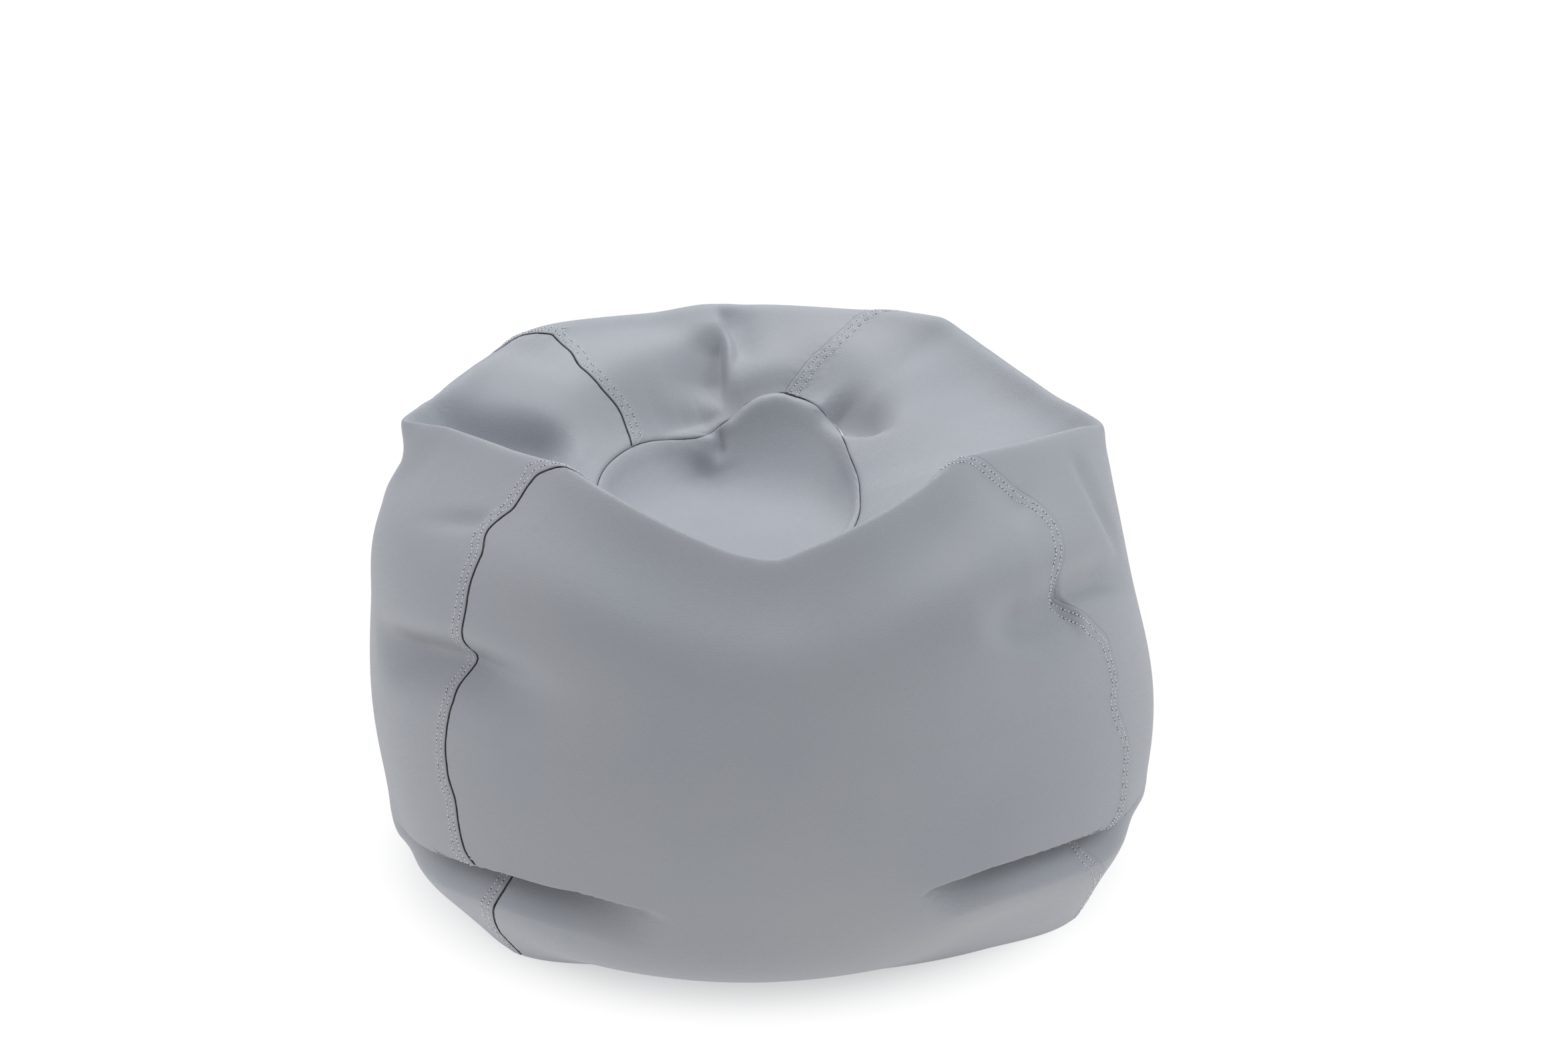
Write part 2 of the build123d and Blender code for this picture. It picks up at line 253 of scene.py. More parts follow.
# Folds where the cover overhangs its foot, going from left to right: (azimuth, level)
FOLDS = [
    {"path": [(-75, 1.6), (-68, 1.78), (-60, 1.97), (-51, 2.16), (-41, 2.31), (-34.5, 2.36), (-25.5, 2.35),
              (-17, 2.25), (-11, 2.15)],
     "depth": 54, "bulge": 5, "drop": 11, "fade": (0.40, 0.40)},
    {"path": [(21, 2.28), (26, 2.42), (33.5, 2.53), (45, 2.44), (53, 2.32), (60, 2.26), (67, 2.16),
              (76, 2.0)],
     "depth": 50, "bulge": 5, "drop": 11, "fade": (0.32, 0.36)},
    {"path": [(118, 1.75), (135, 2.0), (150, 2.15), (166, 1.95), (178, 1.85)],
     "depth": 30, "bulge": 4, "drop": 9, "fade": (0.35, 0.35)},
    {"path": [(-166, 1.85), (-150, 2.0), (-136, 2.1), (-120, 1.95), (-108, 1.8)],
     "depth": 30, "bulge": 4, "drop": 9, "fade": (0.35, 0.35)},
]
# Dents (positive depth) and ridges (negative): depth in millimetres, widths left and right of the path, parts
# of the path where it fades in and out, path of (azimuth, level)
DENTS = [
    # corners of the cover where the front folds run out at the sides
    (-6, (30, 14), (0.4, 0.4),
     [(-84, 1.1), (-75, 1.28), (-67, 1.48), (-59, 1.7)]),
    (-5, (20, 16), (0.4, 0.4),
     [(64, 2.0), (72, 1.85), (82, 1.65)]),
    # valley across the front left seam, with its neighbour above
    (30, (22, 28), (0.25, 0.5),
     [(-74, 3.76), (-66, 3.78), (-58, 3.86), (-51, 3.92), (-44.5, 3.96), (-37, 3.98),
      (-30, 4.0), (-22, 4.02)]),
    (5, (14, 10), (0.2, 0.5),
     [(-72, 3.8), (-62, 3.84), (-52, 3.92), (-44.5, 3.96), (-37, 3.98), (-31, 4.0)]),
    (6, (10, 14), (0.6, 0.3),
     [(-68, 5.0), (-60, 5.15), (-53, 5.25), (-48, 5.3)]),
    # pinch in the front right seam and the valleys that run from it
    (21, (25, 34), (0.15, 0.4),
     [(51.5, 4.44), (48, 4.4), (44, 4.38), (40, 4.42), (36, 4.5), (31, 4.6)]),
    (18, (26, 15), (0.15, 0.5),
     [(48, 4.46), (53, 4.48), (60, 4.44), (70, 4.3), (83, 4.1)]),
    (4, (12, 12), (0.5, 0.5),
     [(46, 5.1), (50, 5.4), (58, 5.55)]),
    (6, (15, 15), (0.3, 0.4),
     [(71.5, 5.8), (70.5, 5.5), (68.5, 5.0), (70.5, 4.7), (74, 4.4)]),
    # fold down the back wall, the crease on one side of it and the hollow on the other
    (11, (26, 8), (0.3, 0.5),
     [(-169.5, 6.06), (-171, 6.3), (-172.6, 6.64), (-173.2, 6.98), (-172, 7.34), (-169.5, 7.7)]),
    (19, (8, 34), (0.4, 0.3),
     [(-169.5, 6.4), (-168, 6.8), (-166.5, 7.16), (-165, 7.5), (-163, 7.84)]),
    (7, (8, 24), (0.3, 0.5),
     [(-164, 7.84), (-156, 7.82), (-148, 7.84), (-139, 7.9)]),
    # the wall turns down behind the puffed edge at the back of the cap
    (14, (24, 6), (0.25, 0.3),
     [(-160, 8), (-167, 8), (-174, 8), (179, 8), (172, 8), (165, 8), (156, 8)]),
    # hollow in the wall beside the cap
    (18, (32, 12), (0.2, 0.3),
     [(157, 7.96), (150, 7.92), (144, 7.86), (138.5, 7.77), (133.5, 7.64), (128, 7.47), (121, 7.3)]),
    # valley behind the left ridge
    (24, (32, 28), (0.3, 0.4),
     [(-93, 6.15), (-98, 6.45), (-102, 6.85), (-104, 7.3), (-104, 7.7)]),
    # crease in the cap, the small tongue beside it and the hollow below the tongue
    (8, (9, 6), (0.3, 0.5),
     [(-164, 7.97), (-162.5, 8.08), (-161.5, 8.16), (-160.5, 8.24), (-158, 8.36)]),
    (-5, (12, 14), (0.2, 0.5),
     [(-158, 8.0), (-156.5, 8.12), (-154.5, 8.22), (-152, 8.32)]),
    (7, (12, 24), (0.4, 0.5),
     [(-144, 8.14), (-147.5, 8.28), (-151, 8.4), (-157, 8.47), (-166, 8.48), (-176, 8.44)]),
    # soft pulls on the sides and the back, which the seams draw in
    (6, (22, 30), (0.5, 0.5),
     [(98, 3.0), (112, 3.25), (128, 3.1), (148, 3.2), (160, 3.3)]),
    (9, (24, 22), (0.4, 0.5),
     [(140, 4.5), (150, 4.4), (165, 4.2), (180, 4.25)]),
    (11, (24, 24), (0.4, 0.5),
     [(-160, 4.5), (-145, 4.3), (-133, 4.25), (-118, 4.0), (-104, 3.9)]),
    (6, (16, 20), (0.4, 0.4),
     [(-125, 5.2), (-133, 5.0), (-145, 5.1)]),
]
GROUNDED_LEVEL = 0.5       # below this level folds and dents die away towards the floor
PATH_SAMPLES = 48
DENT_REACH = 2.5           # a dent ends at this many of its widths
FOLD_EDGE = 8 * MM         # width of the turn from the lip into the crease
FOLD_REACH = 56 * MM       # where the foot below has come out again
FOLD_LIMIT = 120 * MM      # a fold moves nothing further off than this
FOLD_BULGE = 50 * MM       # how far up from the lip its bulge fades
FOLD_DROP = 22 * MM        # and how far up its drop fades
FOOT_SWELL = 0.12          # how far the foot swells below the crease, as a part of its depth
SWELL_WIDTH = 0.6          # and how wide that swell is, as a part of the fold's reach


def path_frame(path):
    """Points along a (azimuth, level) path, with the tangent and the right-hand side at each."""
    azimuths = np.unwrap(np.radians([p[0] for p in path]))
    stations = np.linspace(0, 1, len(path))
    table = np.column_stack([np.degrees(azimuths), [p[1] for p in path]])
    where = hermite(stations, table, np.linspace(0, 1, PATH_SAMPLES))
    points = form(where[:, 0], where[:, 1])
    tangents = unit(np.gradient(points, axis=0))
    normals = form_normal(where[:, 0], where[:, 1])
    return points, tangents, np.cross(tangents, normals)


def near_path(points, path, reach):
    """Which points are within reach of a path, with signed distance (right side positive) and station."""
    samples, tangents, rights = path_frame(path)
    low, high = samples.min(0) - reach, samples.max(0) + reach
    close = np.where(((points > low) & (points < high)).all(-1))[0]
    if len(close) == 0:
        return close, None, None, None
    gaps = points[close][:, None, :] - samples[None, :, :]
    nearest = np.argmin((gaps**2).sum(-1), axis=1)
    gap = gaps[np.arange(len(close)), nearest]
    spacing = np.linalg.norm(np.diff(samples, axis=0), axis=1).mean()
    index = nearest + (gap * tangents[nearest]).sum(-1) / spacing
    inside = np.clip(index, 0, PATH_SAMPLES - 1)
    order = np.arange(PATH_SAMPLES)
    foot = np.stack([np.interp(inside, order, samples[:, k]) for k in range(3)], -1)
    right = unit(np.stack([np.interp(inside, order, rights[:, k]) for k in range(3)], -1))
    beside = ((points[close] - foot) * right).sum(-1)
    past = (index - inside) * spacing
    distance = np.where(beside < 0, -1, 1) * np.sqrt(beside**2 + past**2)
    return close, distance, inside / (PATH_SAMPLES - 1), right


def fade(station, ends):
    """Weight that grows from 0 over the first part of a path and back to 0 over the last part."""
    return smooth(station / ends[0]) * smooth((1 - station) / ends[1])


def dent(points, normals, depth, widths, ends, path):
    """Movement of each point by one dent or ridge."""
    left, right = (w * MM for w in widths)
    close, distance, station, _ = near_path(points, path, DENT_REACH * max(left, right))
    move = np.zeros_like(points)
    if len(close):
        width = np.where(distance < 0, left, right)
        sink = depth * MM * bell(distance / width) * fade(station, ends)
        move[close] = -normals[close] * sink[:, None]
    return move


def fold(points, normals, spec):
    """Movement of each point by one overhanging fold: a lip that drops over a recess."""
    close, distance, station, right = near_path(points, spec["path"], FOLD_LIMIT)
    move = np.zeros_like(points)
    if len(close) == 0:
        return move
    weight = fade(station, spec["fade"])
    above = np.exp(np.minimum(distance, 0) / FOLD_BULGE)
    turn = smooth(distance / FOLD_EDGE)
    recover = 1 - smooth((distance - FOLD_EDGE) / (FOLD_REACH - FOLD_EDGE))
    swell = FOOT_SWELL * bell((distance - FOLD_REACH) / (SWELL_WIDTH * FOLD_REACH)) * turn
    outward = spec["bulge"] * above * (1 - turn) - spec["depth"] * (turn * recover - swell)
    drop = spec["drop"] * bell(np.minimum(distance, 0) / FOLD_DROP) * (1 - turn)
    move[close] = (normals[close] * (outward * weight * MM)[:, None]
                   + right * (drop * weight * MM)[:, None])
    return move


def shape(azimuth, level):
    """Point on the bag with its folds and dents, for arrays of azimuth and level of one shape."""
    azimuth, level = np.broadcast_arrays(np.asarray(azimuth, float), np.asarray(level, float))
    size = azimuth.shape
    azimuth, level = azimuth.ravel(), level.ravel()
    points = form(azimuth, level)
    normals = form_normal(azimuth, level)
    move = np.zeros_like(points)
    for values in DENTS:
        move += dent(points, normals, *values)
    for spec in FOLDS:
        move += fold(points, normals, spec)
    grounded = smooth(level / GROUNDED_LEVEL)[:, None]
    points = points + move * grounded
    points[:, 2] = np.maximum(points[:, 2], 0)
    return points.reshape(size + (3,))


def grid_normals(points):
    """Outward normals of a grid of points, rows going up the bag and columns towards +azimuth."""
    across = np.gradient(points, axis=1)
    up = np.gradient(points, axis=0)
    return unit(np.cross(across, up))


# ---------------------------------------------------------------- meshes

def add_mesh(name, points, faces, material):
    """New smooth-shaded object that rides on the bag."""
    mesh = bpy.data.meshes.new(name)
    mesh.from_pydata(np.asarray(points).tolist(), [], faces)
    mesh.polygons.foreach_set("use_smooth", [True] * len(mesh.polygons))
    mesh.materials.append(material)
    mesh.update()
    piece = bpy.data.objects.new(name, mesh)
    bpy.context.scene.collection.objects.link(piece)
    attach(piece, "bag")
    return piece


def sheet_faces(rows, columns, start=0, flip=False):
    """Quads of a grid whose first vertex has index start."""
    r, c = np.meshgrid(np.arange(rows - 1), np.arange(columns - 1), indexing="ij")
    a = (r * columns + c).ravel() + start
    quads = np.column_stack([a, a + 1, a + 1 + columns, a + columns])
    return quads[:, ::-1] if flip else quads


def tube_faces(rings, columns, start=0):
    """Quads between closed rings of points that lie one after another from index start."""
    faces = []
    for r in range(rings - 1):
        for c in range(columns):
            a = start + r * columns + c
            b = start + r * columns + (c + 1) % columns
            faces.append([a, b, b + columns, a + columns])
    return faces


def shell(outer, inner):
    """Closed sheet from two grids: points and faces."""
    rows, columns = outer.shape[:2]
    count = rows * columns
    points = np.concatenate([outer.reshape(-1, 3), inner.reshape(-1, 3)])
    index = np.arange(count).reshape(rows, columns)
    loop = np.concatenate([index[0, :], index[1:, -1], index[-1, -2::-1], index[-2:0:-1, 0]])
    after = np.roll(loop, -1)
    edge = np.column_stack([loop, loop + count, after + count, after])
    faces = np.vstack([sheet_faces(rows, columns), sheet_faces(rows, columns, count, True), edge])
    return points, faces.tolist()


# ---------------------------------------------------------------- panels

PANELS = {"front": ("front_left", "front_right"), "right": ("front_right", "back_right"),
          "back": ("back_right", "back_left"), "left": ("back_left", "front_left")}
# Level ranges with the number of rows in each; close together where the folds turn
ROWS = [(0.0, 1.5, 24), (1.5, 2.62, 58), (2.62, 5.3, 66), (5.3, 6.5, 44), (6.5, 7.5, 26), (7.5, 7.93, 16),
        (7.93, 8.0, 7)]
SHEET = 1.2 * MM
BASE_SEAM_INSET = 5.8      # millimetres from the outline on the floor to the base panel
ROW_FIRST = 5.5 * MM       # first row of stitches, from the folded edge
ROW_SECOND = 13.5 * MM
TURNED_ROWS = 3            # rows that run in under the bag
UNDER_LAP = 6              # columns of the lower panel that the lap hides, or nearly; where the lap gapes, their outer faces get the dark backing as painted shade
# How far a sheet sinks beside the lap: two laps gape towards the front, two are pulled shut
GAPS = {"front_left": 4.2 * MM, "back_left": 4.2 * MM, "front_right": 0.5 * MM, "back_right": 0.5 * MM}
# Distances of the close columns from the folded edge
UNDER_COLUMNS = np.array([-7, -4, -2, -1.2, -0.6, -0.1, 0.4, 0.9, 1.4, 2.0, 2.8, 4, 5.5, 7.5, 10, 13,
                          17]) * MM
LAP_COLUMNS = np.array([26, 22, 19.5, 18, 17, 16, 15, 13.8, 12.5, 11, 9.5, 8, 6.8, 5.5, 4.2, 3, 2.2, 1.5,
                        0.9, 0.4, 0]) * MM
INNER_COLUMNS = 160
FAR_OFF = 1.0              # stands for a distance to a seam that no longer matters
HEM_TURNS = (50, 110, 180)  # degrees turned under at the folded edge, one column for each
HEM_RADIUS = 0.5 * MM
HEM_SHEET = 0.4 * MM       # the vinyl is skived thin where it turns under
GAPING = 2 * MM            # a gap over this gets painted seam shade: the dark backing on the outer faces under the lap and on the turned hem


def panel_levels():
    """Levels of a panel's rows, from the floor to the cap seam."""
    parts = [np.linspace(low, high, count, endpoint=False) for low, high, count in ROWS]
    return np.append(np.concatenate(parts), CAP_LEVEL)


def seam_azimuth(seam, level):
    """Azimuth of a seam line."""
    return along(SEAM_LINES[seam], level)


def panel_edges(name, levels):
    """Azimuths of a panel's two seams, the higher one a turn further on where it has to be."""
    low, high = (seam_azimuth(seam, levels) for seam in PANELS[name])
    return low, np.where(high < low, high + 360, high)


def seam_rate(seam, level):
    """Metres along a row for one degree, and how much longer the seam's slant makes a row's steps."""
    azimuth = seam_azimuth(seam, level)
    step = form(azimuth + 0.5, level) - form(azimuth - 0.5, level)
    way = unit(np.gradient(form(azimuth, level), axis=0))
    cosine = np.sqrt(np.clip(1 - (way * unit(step)).sum(-1)**2, 0.3, 1))
    return np.linalg.norm(step, axis=-1), 1 / cosine


def panel_grid(name, levels):
    """Azimuth of every column at every level, and the distances from the two seams in metres."""
    low, high = panel_edges(name, levels)
    (low_rate, low_slant), (high_rate, high_slant) = (seam_rate(seam, levels) for seam in PANELS[name])
    start = low[:, None] + UNDER_COLUMNS[None] * (low_slant / low_rate)[:, None]
    end = high[:, None] - LAP_COLUMNS[None] * (high_slant / high_rate)[:, None]
    inner = np.linspace(0, 1, INNER_COLUMNS + 2)[1:-1]
    middle = start[:, -1:] + (end[:, :1] - start[:, -1:]) * inner[None]
    azimuth = np.hstack([start, middle, end])
    from_low = np.hstack([np.tile(UNDER_COLUMNS, (len(levels), 1)),
                          np.full((len(levels), INNER_COLUMNS + len(LAP_COLUMNS)), FAR_OFF)])
    from_high = np.hstack([np.full((len(levels), len(UNDER_COLUMNS) + INNER_COLUMNS), FAR_OFF),
                           np.tile(LAP_COLUMNS, (len(levels), 1))])
    return azimuth, from_low, from_high


def wobble(x, seed):
    """Smooth sum of waves between about -1 and 1."""
    total = 0
    for k, (pace, part) in enumerate(((1.0, 0.5), (1.73, 0.3), (2.91, 0.2))):
        total = total + part * np.sin(x * pace + seed * 2.1 + k * 1.7)
    return total


STEP_RISE = 0.9 * MM       # height of the lap over the seam's allowances
STEP_END = 10 * MM         # how far from the folded edge the lap stays up
STEP_RUN = 11 * MM         # and how far it takes to come down
ROW_WIDTH = 1.3 * MM       # each row of stitches draws the vinyl in this wide
ROW_SINK = 0.45 * MM       # and this deep
EDGE_ROLL = 0.7 * MM       # how far the folded edge rolls down
EDGE_WIDTH = 1.4 * MM
PUCKER_RISE = 0.5 * MM     # puckers on the lap, and the way along the seam for one radian of them
PUCKER_RUN = 2.1 * MM
BESIDE_RISE = 0.3 * MM     # fainter ones on the sheet beside the lap
BESIDE_RUN = 2.6 * MM


def relief(from_low, from_high, run, seed, gap):
    """Height of the seams' relief over the sheet, from the distances to both seams.

    gap is how far the neighbour's lap lets this sheet sink at the lower seam.
    """
    height = STEP_RISE * (1 - smooth((from_high - STEP_END) / STEP_RUN))
    rows = bell((from_high - ROW_FIRST) / ROW_WIDTH) + bell((from_high - ROW_SECOND) / ROW_WIDTH)
    height -= ROW_SINK * rows
    height -= EDGE_ROLL * (1 - smooth(from_high / EDGE_WIDTH))**2
    between = smooth((22 * MM - from_high) / (8 * MM)) * smooth(from_high / (3 * MM))
    height += PUCKER_RISE * between * wobble(run / PUCKER_RUN, seed)
    groove = 1 - smooth((from_low - 0.7 * MM) / (1.6 * MM))
    height -= gap * groove
    beside = bell((from_low - 5 * MM) / (6 * MM))
    height += BESIDE_RISE * beside * wobble(run / BESIDE_RUN, seed + 3)
    return height


def turned_in(grid, height):
    """Grid with rows added at the bottom that run in under the bag to the base panel's edge."""
    foot = grid[0].copy()
    foot[:, 2] = height
    inwards = unit(foot * np.array([-1, -1, 0]))
    rows = [foot + inwards * reach * MM for reach in (BASE_SEAM_INSET, 4, 2)]
    return np.concatenate([np.stack(rows), grid], axis=0)


def show_backing_and_seam_shade(piece, backing_and_seam_shade, rows, columns, gapes_low, gapes_high):
    """Gives the dark backing to the inside and edges of the sheet, and as painted seam shade to the outer
    faces under the neighbour's lap and of the turned hem, where these gape.
    """
    piece.data.materials.append(backing_and_seam_shade)
    outside = np.zeros((rows - 1, columns - 1), int)
    # painted shade: outer faces in a gaping seam get the dark backing colour
    if gapes_low:
        outside[:, :UNDER_LAP] = 1
    if gapes_high:
        outside[:, -len(HEM_TURNS):] = 1
    index = np.ones(len(piece.data.polygons), int)
    index[:outside.size] = outside.ravel()
    piece.data.polygons.foreach_set("material_index", index)


def cap_seam_normal(azimuth):
    """Outward direction at the cap seam, which the gores and the cap share."""
    width, rise = 0.5, 0.06
    across = shape(azimuth + width, CAP_LEVEL) - shape(azimuth - width, CAP_LEVEL)
    up = shape(azimuth, CAP_LEVEL + rise) - shape(azimuth, CAP_LEVEL - rise)
    return unit(np.cross(across, up))


def turned_under(outer, normals, inwards):
    """Grid and normals with columns added that turn the last edge under."""
    edge, edge_normal = outer[:, -1], normals[:, -1]
    hem = []
    for turn in HEM_TURNS:
        angle = math.radians(turn)
        out, down = HEM_RADIUS * math.sin(angle), HEM_RADIUS * (1 - math.cos(angle))
        hem.append(edge + inwards * -out - edge_normal * down)
    return (np.concatenate([outer, np.stack(hem, 1)], axis=1),
            np.concatenate([normals, np.repeat(normals[:, -1:], len(HEM_TURNS), axis=1)], axis=1))


def cover_panel(name, material, backing_and_seam_shade):
    """One gore of the cover: a lapped and folded edge on one side, tucked under on the other."""
    low_seam = PANELS[name][0]
    levels = panel_levels()
    azimuth, from_low, from_high = panel_grid(name, levels)
    points = shape(azimuth, levels[:, None] + 0 * azimuth)
    normals = grid_normals(points)
    run = np.cumsum(np.linalg.norm(np.gradient(points, axis=0), axis=-1), axis=0)
    seed = list(PANELS).index(name)
    height = relief(from_low, from_high, run, seed, GAPS[low_seam])
    to_cap = (SEAM_KNOT - np.interp(levels, RING_LEVELS, KNOTS)) * MM
    height = height - (CAP_SINK * np.exp(-to_cap / (2.2 * MM)))[:, None]
    near_cap = np.exp(-to_cap / (5 * MM))[:, None, None]
    leaning = unit(normals * (1 - near_cap) + cap_seam_normal(azimuth[-1])[None] * near_cap)
    outer = points + leaning * height[..., None]
    outer, normals = turned_under(outer, normals, unit(points[:, -4] - points[:, -1]))
    inner = outer - normals * SHEET
    thin = slice(-len(HEM_TURNS) - 1, None)
    inner[:, thin] = outer[:, thin] - normals[:, thin] * HEM_SHEET
    outer[..., 2] = np.maximum(outer[..., 2], 0)
    inner[..., 2] = np.maximum(inner[..., 2], SHEET)
    mesh_points, faces = shell(turned_in(outer, 0), turned_in(inner, SHEET))
    piece = add_mesh(f"cover_{name}_gore", mesh_points, faces, material)
    # laps that gape more than GAPING get their seam shade painted with the dark backing
    low_gap, high_gap = (GAPS[seam] > GAPING for seam in PANELS[name])
    show_backing_and_seam_shade(piece, backing_and_seam_shade, outer.shape[0] + TURNED_ROWS, outer.shape[1], low_gap, high_gap)
    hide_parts(f"cover_{name}_panel")


CAP_SHADED_ROWS = 1               # rows of the cap next to its seam whose outer faces get the dark backing as painted shade
CAP_SINK = 2.8 * MM        # how far the cap seam is drawn in
CAP_COLUMNS = 480
CAP_EDGE = (0, 0.5, 1, 1.6, 2.4, 3.4, 5, 7, 9.5)   # millimetres from the seam to the close rows


def cap_grid(columns, levels):
    """Closed polar grid of the cap: azimuth by level."""
    azimuth = np.linspace(-180, 180, columns, endpoint=False)
    return np.broadcast_arrays(azimuth[None], levels[:, None])


def polar_shell(outer, inner):
    """Closed sheet from two polar grids whose last rows meet at a point."""
    rows, columns = outer.shape[:2]
    points = []
    faces = []
    for side, grid in enumerate((outer, inner)):
        start = len(points)
        points.extend(grid[:-1].reshape(-1, 3).tolist())
        points.append(grid[-1].mean(0).tolist())
        tip = len(points) - 1
        last = start + (rows - 2) * columns
        own = tube_faces(rows - 1, columns, start)
        own += [[last + c, last + (c + 1) % columns, tip] for c in range(columns)]
        faces += [face[::-1] for face in own] if side else own
    half = len(points) // 2
    for c in range(columns):
        d = (c + 1) % columns
        faces.append([c, c + half, d + half, d])
    return points, faces


def cover_cap(material, backing_and_seam_shade):
    """Sunken round cap, drawn down into the seam around it, with painted shade at the seam: its first row
    gets the dark backing.
    """
    edge = np.array(CAP_EDGE) / (KNOTS[RING_LEVELS.index(CAP_LEVEL) + 1] - SEAM_KNOT)
    levels = CAP_LEVEL + np.concatenate([edge, np.linspace(0.15, LAST_LEVEL - CAP_LEVEL, 56)])
    azimuth, level = cap_grid(CAP_COLUMNS, levels)
    points = shape(azimuth, level)
    wrapped = np.concatenate([points[:, -1:], points, points[:, :1]], axis=1)
    normals = grid_normals(wrapped)[:, 1:-1]
    normals[-1] = unit(normals[-2].mean(0))
    from_edge = (np.interp(level, RING_LEVELS, KNOTS) - SEAM_KNOT) * MM
    run = np.cumsum(np.linalg.norm(np.gradient(points, axis=1), axis=-1), axis=1)
    height = -CAP_SINK * np.exp(-from_edge / (1.5 * MM)) + 1.0 * MM * bell((from_edge - 7 * MM) / (5 * MM))
    near_seam = np.exp(-from_edge / (5 * MM))[..., None]
    normals = unit(normals * (1 - near_seam) + cap_seam_normal(azimuth[0])[None] * near_seam)
    height += 0.35 * MM * bell((from_edge - 4 * MM) / (5 * MM)) * wobble(run / (3.1 * MM), 5)
    outer = points + normals * height[..., None]
    mesh_points, faces = polar_shell(outer, outer - normals * SHEET)
    piece = add_mesh("cover_cap", mesh_points, faces, material)
    piece.data.materials.append(backing_and_seam_shade)
    outside = (len(levels) - 2) * azimuth.shape[1]
    index = np.zeros(len(piece.data.polygons), int)
    index[outside + azimuth.shape[1]:] = 1
    # painted shade: the cap's outer row at the seam gets the dark backing colour
    index[:CAP_SHADED_ROWS * azimuth.shape[1]] = 1
    piece.data.polygons.foreach_set("material_index", index)
    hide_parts("cover_top_cap")


# ---------------------------------------------------------------- liner and beads

LINER_INSET = 3.2 * MM
LINER_SHEET = 0.8 * MM
BEAD_INSET = 5.5 * MM


def inset_grid(azimuth, level, inset, floor, closed):
    """Grid of points a given distance inside the bag, kept above a floor height."""
    points = shape(azimuth, level)
    if closed:
        points = np.concatenate([points[:, -1:], points, points[:, :1]], axis=1)
    normals = grid_normals(points)
    points = points - normals * inset
    points[..., 2] = np.maximum(points[..., 2], floor)
    return points[:, 1:-1] if closed else points


def liner_panel(name, material, floor):
    """One gore of the liner, which follows the cover from inside."""
    levels = np.linspace(0, CAP_LEVEL, 90)
    low, high = panel_edges(name, levels)
    share = np.linspace(0.002, 0.998, 70)
    azimuth = low[:, None] + (high - low)[:, None] * share[None]
    level = np.broadcast_to(levels[:, None], azimuth.shape)
    outer = inset_grid(azimuth, level, LINER_INSET, floor, False)
    inner = inset_grid(azimuth, level, LINER_INSET + LINER_SHEET, floor + LINER_SHEET, False)
    points, faces = shell(outer, inner)
    piece = add_mesh(f"liner_{name}_gore", points, faces, material)
    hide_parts(f"liner_{name}_panel")


def liner_cap(material, floor):
    """Cap of the liner."""
    azimuth, level = cap_grid(150, np.linspace(CAP_LEVEL, LAST_LEVEL, 26))
    outer = inset_grid(azimuth, level, LINER_INSET, floor, True)
    inner = inset_grid(azimuth, level, LINER_INSET + LINER_SHEET, floor, True)
    outer[-1] = outer[-1].mean(0)
    inner[-1] = inner[-1].mean(0)
    points, faces = polar_shell(outer, inner)
    piece = add_mesh("liner_cap", points, faces, material)
    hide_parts("liner_top_cap")


def bead_filling(material, floor):
    """The mass of beads as one closed form, flat underneath."""
    azimuth, level = cap_grid(240, np.linspace(0.02, LAST_LEVEL, 130))
    grid = inset_grid(azimuth, level, BEAD_INSET, floor, True)
    rows, columns = grid.shape[:2]
    points = grid[:-1].reshape(-1, 3).tolist()
    points += [grid[-1].mean(0).tolist(), [0, 0, floor]]
    top, bottom = len(points) - 2, len(points) - 1
    faces = tube_faces(rows - 1, columns)
    last = (rows - 2) * columns
    for c in range(columns):
        d = (c + 1) % columns
        faces.append([last + c, last + d, top])
        faces.append([d, c, bottom])
    piece = add_mesh("beads", points, faces, material)
    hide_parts("bead_filling")


# ---------------------------------------------------------------- stitches

STITCH_PITCH = 4.2 * MM
STITCH_LENGTH = 3.3 * MM
STITCH_RADIUS = 0.55 * MM
STITCH_SIDES = 6
STITCH_RINGS = 6
HOLE_SIDES = 8
STITCH_TOP = 0.25          # millimetres that the middle of a stitch stands up
STITCH_DIVE = 0.75         # and that its ends go down from there
HOLE_RADIUS = 0.75         # millimetres
HOLE_TOP, HOLE_FLOOR = 0.22, 0.06      # height of its rim and of its middle


def seam_rows(panel):
    """Points and normals along the two rows of stitches of a panel's lap."""
    levels = np.linspace(0.25, 7.97, 1500)
    seam = PANELS[panel][1]
    rate, slant = seam_rate(seam, levels)
    rows = []
    for offset in (ROW_FIRST, ROW_SECOND):
        middle = seam_azimuth(seam, levels) - offset * slant / rate
        strip = np.stack([middle - 0.3, middle, middle + 0.3], 1)
        points = shape(strip, levels[:, None] + 0 * strip)
        normals = grid_normals(points)[:, 1]
        run = np.cumsum(np.linalg.norm(np.gradient(points[:, 1], axis=0), axis=-1))
        seed = list(PANELS).index(panel)
        height = relief(np.full(len(levels), FAR_OFF), np.full(len(levels), offset), run, seed, 0)
        rows.append((points[:, 1] + normals * height[:, None], normals, run))
    return rows


def hole_rim(middle, up, way):
    """Middle of a needle hole, a little sunk, and the points round it."""
    side = np.cross(way, up)
    points = [middle + up * HOLE_FLOOR * MM]
    for j in range(HOLE_SIDES):
        turn = 2 * math.pi * j / HOLE_SIDES
        rim = HOLE_RADIUS * math.cos(turn) * way + HOLE_RADIUS * math.sin(turn) * side
        points.append(middle + (rim + HOLE_TOP * up) * MM)
    return points


